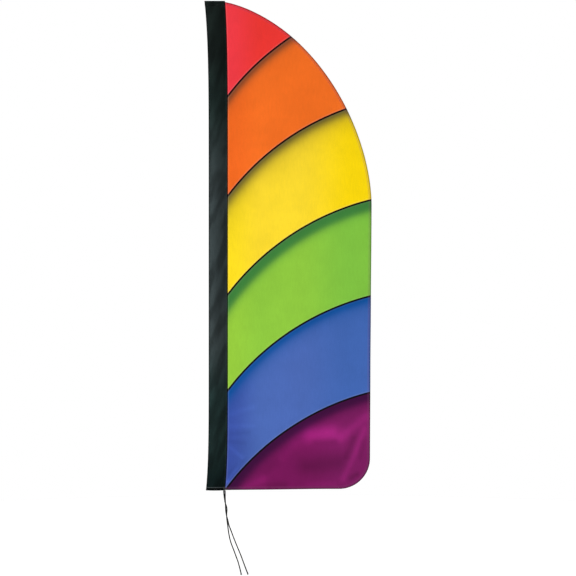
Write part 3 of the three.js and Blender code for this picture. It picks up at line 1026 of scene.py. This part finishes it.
def sleeve_cloth():
    paint = Paint("sleeve_cloth", Sheen_Weight=0.006, Sheen_Roughness=0.5, Specular_IOR_Level=0.05)
    # Painted light and shade up the sleeve's height.
    body = SLEEVE_FOOT_PAINTED_SHADE
    for low, high, next_colour in SLEEVE_PAINTED_SHADES:
        body = paint.mix(paint.ramp(paint.z, low, high), body, next_colour)
    # Painted light and shade of soft slanting folds, and a paler strip of painted light next to the edge's
    # fold, all but near the foot.
    slanted = paint.math("MULTIPLY_ADD", paint.z, -PAINTED_FOLD_SLANT, paint.x)
    drawn_out = paint.times(paint.z, PAINTED_FOLD_STRETCH)
    drape = paint.add("ShaderNodeCombineXYZ", {0: slanted, 1: paint.y, 2: drawn_out})
    folds = {"Vector": drape.outputs[0], "Scale": 30.0, "Detail": 1.5}
    cloud = paint.add("ShaderNodeTexNoise", folds).outputs["Fac"]
    tone = paint.ramp(cloud, 0.34, 0.66, 1.12, 0.62)
    beside_fold = paint.ramp(paint.x, FOLD, FOLD + 0.05, 0.5, 0.0)
    fold_edge_highlight = paint.times(beside_fold, paint.ramp(paint.z, 0.15, 0.45))
    tone = paint.times(tone, paint.math("ADD", fold_edge_highlight, 0.94))
    thread = paint.noise(900.0, 1.0, (1.0, 1.0, 0.08))
    tone = paint.toned(tone, thread, 0.35, 0.7, 0.93, 1.16)
    threads = paint.weave(paint.x, paint.z, SLEEVE_WEAVE)
    tone = paint.toned(tone, threads, 0.2, 1.0, 0.66, 1.12)
    # Painted shade: near-black lines along both edges, where the cloth turns away, and next to each line of
    # stitches, where it is drawn in.
    from_fold = paint.attribute("from_fold")
    tone = paint.toned(tone, from_fold, 0.0016, 0.0060, 0.22, 1.0)
    from_seam = paint.attribute("from_seam")
    tone = paint.toned(tone, from_seam, 0.0010, 0.0044, 0.15, 1.0)
    for height in TOP_STITCHES:
        line = paint.band(paint.z, height - 0.0014, height + 0.0014, 0.0012)
        tone = paint.toned(tone, line, 0.0, 1.0, 1.0, 0.3)
    hem = paint.ramp(paint.z, MOUTH_STITCHES - 0.0030, MOUTH_STITCHES - 0.0014, 0.3, 1.0)
    tone = paint.times(tone, hem)
    body = paint.tinted(body, tone)
    edge = paint.band(paint.z, MOUTH_STITCHES - 0.0010, MOUTH_STITCHES + 0.0014, 0.0010)
    body = paint.mix(paint.times(edge, 0.5), body, HEM_EDGE)
    paint.roughness(cloud, 0.62, 0.80)
    return paint.finished(body, threads, 0.00014, 0.9)


def black_thread():
    paint = Paint("black_thread", Roughness=0.5, Sheen_Weight=0.15)
    twist = paint.wave(paint.math("ADD", paint.x, paint.z), THREAD_TWIST)
    return paint.finished(paint.mix(twist, srgb(10, 12, 12), srgb(34, 38, 38)), twist, 0.00008)


def cord_braid():
    paint = Paint("cord_braid", Sheen_Weight=0.01, Sheen_Roughness=0.5, Specular_IOR_Level=0.08)
    fibre = paint.noise(1400.0, 2.0, (1.0, 1.0, 0.3))
    body = paint.mix(paint.ramp(fibre, 0.3, 0.7), srgb(14, 14, 15), srgb(36, 36, 37))
    # Painted shade: the strands are darker where they dip below one another, and a little lighter on top.
    paint.roughness(fibre, 0.5, 0.75)
    tone = paint.ramp(paint.attribute("braid"), 0.15, 0.95, 0.05, 1.2)
    return paint.finished(paint.tinted(body, tone), fibre, 0.00006)


def webbing_cloth():
    paint = Paint("webbing_cloth", Sheen_Weight=0.15, Specular_IOR_Level=0.25)
    yarn = paint.noise(1100.0, 2.0, (0.15, 1.0, 1.0))
    paint.roughness(yarn, 0.65, 0.85)
    return paint.finished(paint.mix(yarn, srgb(12, 13, 13), srgb(34, 36, 36)), yarn, 0.00008)


def fibreglass():
    paint = Paint("drawn_fibreglass", Specular_IOR_Level=0.5, Coat_Weight=0.12, Coat_Roughness=0.3)
    drawn = paint.noise(1500.0, 3.0, (1.0, 1.0, 0.012))
    cloud = paint.noise(6.0, 3.0)
    body = paint.mix(paint.ramp(drawn, 0.3, 0.7), srgb(196, 194, 180), srgb(222, 220, 208))
    body = paint.mix(paint.ramp(cloud, 0.5, 0.8, 0.0, 0.25), body, srgb(196, 194, 176))
    scuff = paint.noise(60.0, 6.0, (1.0, 1.0, 0.3))
    body = paint.mix(paint.ramp(scuff, 0.62, 0.72, 0.0, 0.3), body, srgb(150, 150, 146))
    paint.roughness(drawn, 0.30, 0.48)
    return paint.finished(body, drawn, 0.00002)


def turned_aluminium():
    paint = Paint("turned_aluminium", Metallic=1.0)
    rings = paint.noise(2600.0, 2.0, (0.04, 0.04, 1.0))
    scratch = paint.noise(140.0, 7.0, (1.0, 1.0, 0.2))
    body = paint.mix(paint.ramp(rings, 0.3, 0.7), (0.52, 0.53, 0.55, 1), (0.70, 0.71, 0.73, 1))
    body = paint.mix(paint.ramp(scratch, 0.60, 0.70, 0.0, 0.5), body, (0.32, 0.32, 0.34, 1))
    paint.roughness(rings, 0.26, 0.42)
    return paint.finished(body, rings, 0.00003)


def moulded(name, dark, light, rough_low, rough_high, grain):
    paint = Paint(name, Specular_IOR_Level=0.4)
    grit = paint.noise(grain, 3.0)
    dust = paint.noise(50.0, 4.0)
    body = paint.mix(paint.ramp(grit, 0.3, 0.7), dark, light)
    paint.roughness(grit, rough_low, rough_high)
    body = paint.mix(paint.ramp(dust, 0.55, 0.8, 0.0, 0.25), body, srgb(92, 92, 90))
    return paint.finished(body, grit, 0.00006)


def wear(obj, material):
    obj.data.materials.clear()
    obj.data.materials.append(material)


# ---- Camera, light and floor ----

BACK_OFF = 9.18
ROOM_LIGHT = 0.27  # how bright the white room is as a light, beside the softboxes
LENS = 135.0
FLOOR_MIDDLE = 0.3  # its x, under the middle of the flag


def camera():
    """Square on to the flag, far off, with the object filling the frame's height."""
    lens = bpy.data.cameras.new("camera")
    lens.lens = LENS
    lens.sensor_width = 36.0
    lens.clip_end = 60.0
    obj = put_in_scene("camera", lens)
    obj.location = (cad_middle.x, -BACK_OFF, cad_middle.z)
    obj.rotation_euler = (math.pi / 2, 0, 0)
    bpy.context.scene.camera = obj


def softbox(name, place, size, power):
    light = bpy.data.lights.new(name, "AREA")
    light.shape = "SQUARE"
    light.size = size
    light.energy = power
    obj = put_in_scene(name, light)
    obj.location = place
    obj.rotation_euler = (cad_middle - Vector(place)).to_track_quat("-Z", "Y").to_euler()


def studio():
    softbox("key", (-3.4, -3.6, 2.6), 2.2, 160)
    softbox("fill", (3.8, -4.2, 1.6), 2.6, 52)
    softbox("back_key", (3.6, 3.6, 2.6), 2.2, 145)
    softbox("back_fill", (-3.8, 4.2, 1.6), 2.6, 52)
    overhead = bpy.data.lights.new("overhead", "SUN")
    overhead.energy = 2.15
    overhead.angle = math.radians(60)
    put_in_scene("overhead", overhead)
    world = bpy.data.worlds.new("white_room")
    world.use_nodes = True
    tree = world.node_tree
    background = tree.nodes["Background"]
    background.inputs["Color"].default_value = (1.0, 1.0, 1.0, 1.0)
    seen = tree.nodes.new("ShaderNodeLightPath").outputs["Is Camera Ray"]
    strength = tree.nodes.new("ShaderNodeMapRange")
    strength.inputs["To Min"].default_value = ROOM_LIGHT
    strength.inputs["To Max"].default_value = 1.0
    tree.links.new(seen, strength.inputs["Value"])
    tree.links.new(strength.outputs[0], background.inputs["Strength"])
    bpy.context.scene.world = world
    bpy.context.scene.view_settings.view_transform = "Standard"


def floor():
    """A wide round floor, a little below the cord's ends."""
    radii = [1.0, 2.0, 3.0, 4.0]
    sides = 64
    level = cad_low.z - 0.05
    spots = [(FLOOR_MIDDLE, 0.0, level)]
    for radius in radii:
        for k in range(sides):
            angle = 2 * math.pi * k / sides
            spots.append((FLOOR_MIDDLE + radius * math.cos(angle), radius * math.sin(angle), level))
    faces = [(0, 1 + k, 1 + (k + 1) % sides) for k in range(sides)]
    for f in grid_faces(len(radii), sides, closed=True):
        faces.append(tuple(1 + i for i in reversed(f)))
    obj = mesh_object("studio_floor", spots, faces)
    paint = Paint("pale_floor", Roughness=0.85, Specular_IOR_Level=0.1)
    speck = paint.noise(30.0, 4.0)
    paint.colour(paint.mix(speck, (0.77, 0.77, 0.77, 1), (0.79, 0.79, 0.79, 1)))
    wear(obj, paint.material)


# ---- Assembly ----


def on_flag(obj, material, slot, *nodes):
    wear(obj, material)
    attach(obj, "flag")
    if nodes:
        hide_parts(*nodes)
    return obj


camera()

braid = cord_braid()
for tail_name, node, route, blob in (
    ("left_cord_tail", "tie_cord_left_tail", LEFT_TAIL, 1.34),
    ("right_cord_tail", "tie_cord_right_tail", RIGHT_TAIL, 1.16),
):
    tail, tail_line, tail_length = cord_tail(tail_name, route, blob)
    on_flag(tail, braid, "cord_braid", node)

studio()
floor()

thread = black_thread()
panel = on_flag(flag_panel(), printed_cloth(), "printed_cloth", "flag_panel")
panel_thread = on_flag(hem_stitches(), print_thread(), "printed_cloth")

sleeve, sleeve_grid = pole_sleeve()
on_flag(sleeve, sleeve_cloth(), "sleeve_cloth", "pole_sleeve")
seam_thread = on_flag(sleeve_stitches(), thread, "sleeve_cloth")
tack = on_flag(bar_tack(), thread, "sleeve_cloth")

webbing, webbing_cut = top_patch()
on_flag(webbing, webbing_cloth(), "webbing", "sleeve_top_patch")

plastic = moulded("moulded_plastic", srgb(26, 26, 28), srgb(44, 44, 47), 0.42, 0.60, 900.0)
rubber = moulded("moulded_rubber", srgb(18, 18, 18), srgb(34, 34, 34), 0.70, 0.90, 600.0)
for material, nodes in (
    (fibreglass(), ("lower_tube", "middle_tube", "top_rod")),
    (turned_aluminium(), ("foot_ferrule", "lower_joint_ferrule", "middle_joint_ferrule")),
    (plastic, ("middle_stop_collar", "top_stop_collar")),
    (rubber, ("tip_cap",)),
):
    for node in nodes:
        wear(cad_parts[node], material)
